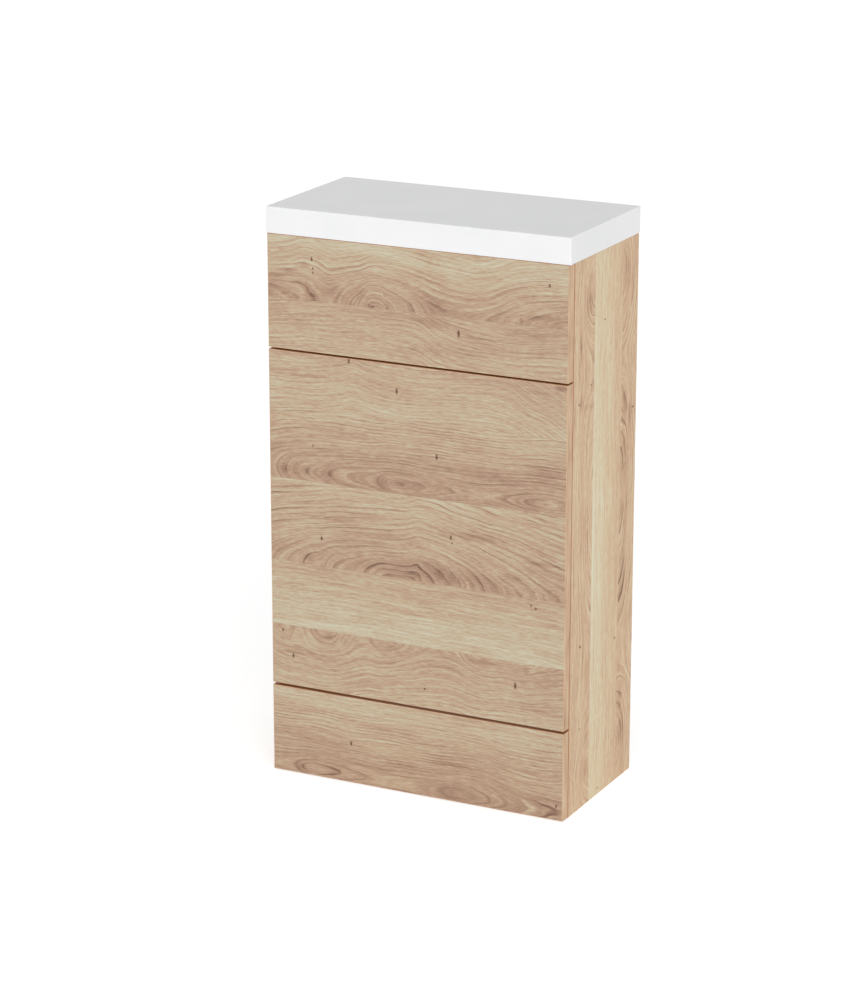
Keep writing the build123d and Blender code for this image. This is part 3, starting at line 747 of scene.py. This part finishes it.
ZINC_LIGHT = (0.72, 0.72, 0.70)
ZINC_DARK = (0.56, 0.58, 0.58)
ZINC_CLOUDS = 3.0
STEM_SIDE = 210.0
STEM_FRONT = -63.5
STEM_REAR = 83.5
THREAD_OUTSIDE = 4.2
COLLAR_TOP = 16.3
THREAD_PITCH = 1.25
THREAD_RELIEF = 0.0006


def threaded_zinc():
    """Bright zinc, with a screw thread round the feet's stems above their collars."""
    material, value, shader = new_material("threaded_zinc")
    x, y, z = split(value, in_millimetres(value))
    in_front = y.math("LESS_THAN", y, (STEM_FRONT + STEM_REAR) / 2)
    from_x = x - x.math("SIGN", x) * STEM_SIDE
    from_y = y - STEM_REAR - in_front * (STEM_FRONT - STEM_REAR)
    angle = from_y.math("ARCTAN2", from_y, from_x)
    ridge = abs((z / THREAD_PITCH + angle / (2 * pi)).fraction() * 2 - 1)
    radius = (from_x ** 2 + from_y ** 2) ** 0.5
    slim = radius.math("LESS_THAN", radius, THREAD_OUTSIDE)
    on_thread = slim * z.math("GREATER_THAN", z, COLLAR_TOP)
    colour, clouds = clouded(value, ZINC_LIGHT, ZINC_DARK, ZINC_CLOUDS)
    thread = value.make(
        "ShaderNodeBump", {}, {"Distance": THREAD_RELIEF, "Height": ridge * on_thread})
    feed(material.node_tree, shader, Base_Color=colour, Roughness=clouds * GLOSS_CHANGE + 0.2,
         Normal=thread)
    shader.inputs["Metallic"].default_value = 1.0
    return material


fittings = {
    "zinc": speckled("bright_zinc", ZINC_LIGHT, ZINC_DARK, ZINC_CLOUDS, 0.32, 1.0),
    "steel": speckled("rolled_steel", (0.62, 0.62, 0.63), (0.48, 0.48, 0.50), 5.0, 0.4, 1.0),
    "white_plastic": speckled("white_plastic", (0.80, 0.80, 0.78), (0.74, 0.74, 0.72), 1.5, 0.45),
    "grey_plastic": speckled("grey_plastic", (0.07, 0.07, 0.075), (0.05, 0.05, 0.055), 1.2, 0.5),
    "thread": threaded_zinc(),
    "beech": speckled("turned_beech", (0.62, 0.42, 0.25), (0.48, 0.31, 0.17), 4.0, 0.6),
}
print("fittings", sorted(fittings))

# %% [markdown]
# Every frame node keeps its shape and gets its finish here. The frame's own materials are plain
# colours for each slot, so it is enough to put the new finish into every slot of a node's mesh.

# %% Finishes on the frame's nodes


def finish(material, *nodes):
    """Give frame nodes one finish."""
    for node in nodes:
        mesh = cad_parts[node].data
        for slot in range(len(mesh.materials)):
            mesh.materials[slot] = material


finish(boards["fascia"], "upper_fascia", "middle_fascia", "lower_fascia")
finish(boards["gable"], "left_gable", "right_gable")
finish(boards["gable edging"], "left_gable_edging", "right_gable_edging")
finish(boards["fascia edging"], "upper_fascia_edging", "middle_fascia_edging",
       "lower_fascia_edging")
finish(boards["rail"], "top_front_rail", "middle_front_rail", "lower_front_rail", "top_rear_rail")
finish(worktop_white, "worktop")
finish(fittings["beech"], "worktop_pegs", "wooden_dowels")
finish(fittings["zinc"], "cam_discs", "cam_bolts")
finish(fittings["steel"], "wall_brackets", "foot_brackets", "foot_nuts")
finish(fittings["white_plastic"], "clip_sockets", "clip_studs", "fixing_blocks")
finish(fittings["grey_plastic"], "fascia_buffers")
for foot in ("front_left", "front_right", "rear_left", "rear_right"):
    finish(fittings["thread"], "foot_stem_" + foot)
    finish(fittings["grey_plastic"], "foot_pad_" + foot)
print("finished", len(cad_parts), "nodes")

# %% [markdown]
# The frame has the holes for the screws but not the screws. They are all one kind: a pan-head
# chipboard screw with a cross recess, short where it holds a metal bracket and long where it runs
# through a rail or a block. The head is half a flattened ball, cut off level and slotted twice.

# %% One screw
HEAD_RADIUS = 0.0036
HEAD_HEIGHT = 0.0024
SHANK_RADIUS = 0.0018
TIP_LENGTH = 0.004
RECESS_LENGTH = 0.004
RECESS_WIDTH = 0.0009
RECESS_DEPTH = 0.0014
TIP_RADIUS = 0.0002
ROUND_SIDES = 16
SMOOTH_ANGLE = radians(35)
LONG_SCREW = 0.030
SHORT_SCREW = 0.014


def pan_head():
    """A domed head that stands on Z = 0, with a cross recess."""
    bpy.ops.mesh.primitive_uv_sphere_add(segments=24, ring_count=16, radius=HEAD_RADIUS)
    head = bpy.context.object
    bpy.ops.object.mode_set(mode="EDIT")
    bpy.ops.mesh.select_all(action="SELECT")
    bpy.ops.transform.resize(value=(1, 1, HEAD_HEIGHT / HEAD_RADIUS))
    bpy.ops.mesh.select_all(action="SELECT")
    bpy.ops.mesh.bisect(plane_co=(0, 0, 0), plane_no=(0, 0, 1), use_fill=True, clear_inner=True,
                        threshold=0.000001)
    bpy.ops.object.mode_set(mode="OBJECT")
    for length, width in ((RECESS_LENGTH, RECESS_WIDTH), (RECESS_WIDTH, RECESS_LENGTH)):
        bpy.ops.mesh.primitive_cube_add(
            size=1, location=(0, 0, HEAD_HEIGHT), scale=(length, width, 2 * RECESS_DEPTH))
        arm = bpy.context.object
        cut = head.modifiers.new("recess", "BOOLEAN")
        cut.object = arm
        cut.operation = "DIFFERENCE"
        bpy.context.view_layer.objects.active = head
        bpy.ops.object.modifier_apply(modifier=cut.name)
        bpy.data.objects.remove(arm)
    return head


def screw(length):
    """A whole screw along Z: its head above Z = 0, its shank and tip below."""
    parts = [pan_head()]
    shank = length - TIP_LENGTH
    bpy.ops.mesh.primitive_cylinder_add(
        vertices=ROUND_SIDES, radius=SHANK_RADIUS, depth=shank, location=(0, 0, -shank / 2))
    parts.append(bpy.context.object)
    bpy.ops.mesh.primitive_cone_add(
        vertices=ROUND_SIDES, radius1=TIP_RADIUS, radius2=SHANK_RADIUS, depth=TIP_LENGTH,
        location=(0, 0, TIP_LENGTH / 2 - length))
    parts.append(bpy.context.object)
    for part in parts:
        part.select_set(True)
    bpy.context.view_layer.objects.active = parts[0]
    bpy.ops.object.join()
    bpy.ops.object.transform_apply(location=True, rotation=True, scale=True)
    bpy.ops.object.shade_smooth_by_angle(angle=SMOOTH_ANGLE)
    bpy.ops.object.select_all(action="DESELECT")
    return parts[0]


long_screw = screw(LONG_SCREW)
short_screw = screw(SHORT_SCREW)
print("screw faces", len(long_screw.data.polygons))

# %% [markdown]
# The screws go where the frame has their holes: through the front rails into the fixed fascias,
# through the plastic blocks into fascia and gable, and through the brackets into the gables. A
# place and the way the head looks are enough to set one, and left and right mirror each other.

# %% Screws in their places, in millimetres
RAIL_INNER_FACE = -89.5
RAIL_SCREW_SIDE = 120
RAIL_SCREW_HEIGHTS = (662.45, 37.5)
BLOCK_INNER_SIDE = 212
BLOCK_MIDDLE_SIDE = 222
BLOCK_MIDDLE_DEPTH = -99.5
BLOCK_HEIGHTS = (118, 170)
BLOCK_SCREW_STEP = 8
BRACKET_FACE = 230
BRACKET_SCREW_DEPTH = 108.5
BRACKET_SCREW_HEIGHTS = (757, 779)
FOOT_BRACKET_FACE = 229.5
FOOT_SCREW_HEIGHT = 32.5
FOOT_SCREW_STEP = 9
BACKWARDS = (0, 1, 0)

rail_places = [((x, RAIL_INNER_FACE, z), BACKWARDS)
               for x in (-RAIL_SCREW_SIDE, RAIL_SCREW_SIDE) for z in RAIL_SCREW_HEIGHTS]
block_places = []
wall_places = []
foot_places = []
for side in (-1, 1):
    inwards = (-side, 0, 0)
    for middle in BLOCK_HEIGHTS:
        low, high = middle - BLOCK_SCREW_STEP, middle + BLOCK_SCREW_STEP
        block_places.append(((side * BLOCK_MIDDLE_SIDE, RAIL_INNER_FACE, low), BACKWARDS))
        block_places.append(((side * BLOCK_INNER_SIDE, BLOCK_MIDDLE_DEPTH, high), inwards))
    for z in BRACKET_SCREW_HEIGHTS:
        wall_places.append(((side * BRACKET_FACE, BRACKET_SCREW_DEPTH, z), inwards))
    for y in (STEM_FRONT, STEM_REAR):
        for step in (-FOOT_SCREW_STEP, FOOT_SCREW_STEP):
            foot_places.append(((side * FOOT_BRACKET_FACE, y + step, FOOT_SCREW_HEIGHT), inwards))


def drive(name, pattern, places):
    """Copy a screw to each (place, way its head looks), as one piece."""
    copies = []
    for place, way in places:
        mesh = pattern.data.copy()
        turn = Vector(way).to_track_quat("Z", "Y").to_matrix().to_4x4()
        mesh.transform(Matrix.Translation(Vector(place) / 1000) @ turn)
        copies.append(bpy.data.objects.new(name, mesh))
        bpy.context.collection.objects.link(copies[-1])
        copies[-1].select_set(True)
    bpy.context.view_layer.objects.active = copies[0]
    bpy.ops.object.join()
    bpy.ops.object.select_all(action="DESELECT")
    piece = copies[0]
    piece.name = name
    piece.data.materials.clear()
    piece.data.materials.append(fittings["zinc"])
    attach(piece, "carcass")
    return piece


SCREWS = (
    ("rail_screws", long_screw, rail_places),
    ("block_screws", long_screw, block_places),
    ("wall_bracket_screws", short_screw, wall_places),
    ("foot_bracket_screws", short_screw, foot_places),
)
for name, pattern, places in SCREWS:
    piece = drive(name, pattern, places)
    print(name, len(places), "screws,", len(piece.data.polygons), "faces")
bpy.data.objects.remove(long_screw)
bpy.data.objects.remove(short_screw)

# %% [markdown]
# The studio is a white floor under an even white sky. The fronts are the brightest faces in the
# photograph, then the side, then the top, so a broad soft sun stands low in front, a little to the
# right. Only rays that reach the camera directly, or through a mirror or glass, see pure white, so
# the background is white without any more light on the object.

# %% Studio
SKY_LEVEL = 0.485
SUN_LEVEL = 3.0
SUN_TURN = radians(35)
SUN_HEIGHT = radians(8)
SUN_BREADTH = radians(60)
FLOOR_SIZE = 40
FLOOR_SHADE = 0.8
FLOOR_LIFT = 0.55
WHITE = (1, 1, 1, 1)


def seen_by_camera(value):
    """1 for rays from the camera, also by way of a mirror or glass, and 0 for all others."""
    outputs = value.make("ShaderNodeLightPath").socket.node.outputs
    kinds = ("Is Camera Ray", "Is Glossy Ray", "Is Transmission Ray")
    direct, mirrored, through = [Value(value.tree, outputs[kind]) for kind in kinds]
    return direct.most(mirrored).most(through)


def floor_white():
    """White floor: lit by the studio, and lifted to pure white outside the object's shadow."""
    material, value, shader = new_material("studio_floor")
    tree = material.node_tree
    lift = seen_by_camera(value) * FLOOR_LIFT
    shader.inputs["Base Color"].default_value = (FLOOR_SHADE, FLOOR_SHADE, FLOOR_SHADE, 1)
    shader.inputs["Roughness"].default_value = 1.0
    shader.inputs["Specular IOR Level"].default_value = 0.0
    shader.inputs["Emission Color"].default_value = WHITE
    tree.links.new(lift.socket, shader.inputs["Emission Strength"])
    return material


bpy.ops.mesh.primitive_plane_add(size=FLOOR_SIZE, location=(0, 0, 0))
floor = bpy.context.object
floor.name = "studio_floor"
floor.data.materials.append(floor_white())

world = bpy.data.worlds.new("studio_sky")
bpy.context.scene.world = world
world.use_nodes = True
level = seen_by_camera(Value(world.node_tree)) * (1 - SKY_LEVEL) + SKY_LEVEL
backdrop = world.node_tree.nodes["Background"]
backdrop.inputs["Color"].default_value = WHITE
world.node_tree.links.new(level.socket, backdrop.inputs["Strength"])

bpy.ops.object.light_add(type="SUN")
sun = bpy.context.object
sun.name = "broad_sun"
sun.data.energy = SUN_LEVEL
sun.data.angle = SUN_BREADTH
level_reach = cos(SUN_HEIGHT)
toward = Vector((sin(SUN_TURN) * level_reach, -cos(SUN_TURN) * level_reach, sin(SUN_HEIGHT)))
sun.rotation_euler = toward.to_track_quat("Z", "Y").to_euler()
print("sun towards", [round(part, 3) for part in toward])

# %% [markdown]
# The camera's place, turn and lens were worked out from the photograph's straight edges, with the
# unit's width as the known size. The sensor is fitted by its height, as the picture is upright.

# %% Camera
CAMERA_PLACE = (2.1899, -4.4565, 1.9330)
CAMERA_TURN = radians(26.694)
CAMERA_DIP = radians(16.705)
FRAME_HEIGHT = 24.0
LENS = 80.58

bpy.ops.object.camera_add(location=CAMERA_PLACE)
camera = bpy.context.object
camera.name = "photo_camera"
camera.rotation_euler = Euler((pi / 2 - CAMERA_DIP, 0, CAMERA_TURN))
camera.data.sensor_fit = "VERTICAL"
camera.data.sensor_height = FRAME_HEIGHT
camera.data.lens = LENS
bpy.context.scene.camera = camera
bpy.context.scene.view_settings.view_transform = "Standard"
print("camera", CAMERA_PLACE, "lens", LENS)
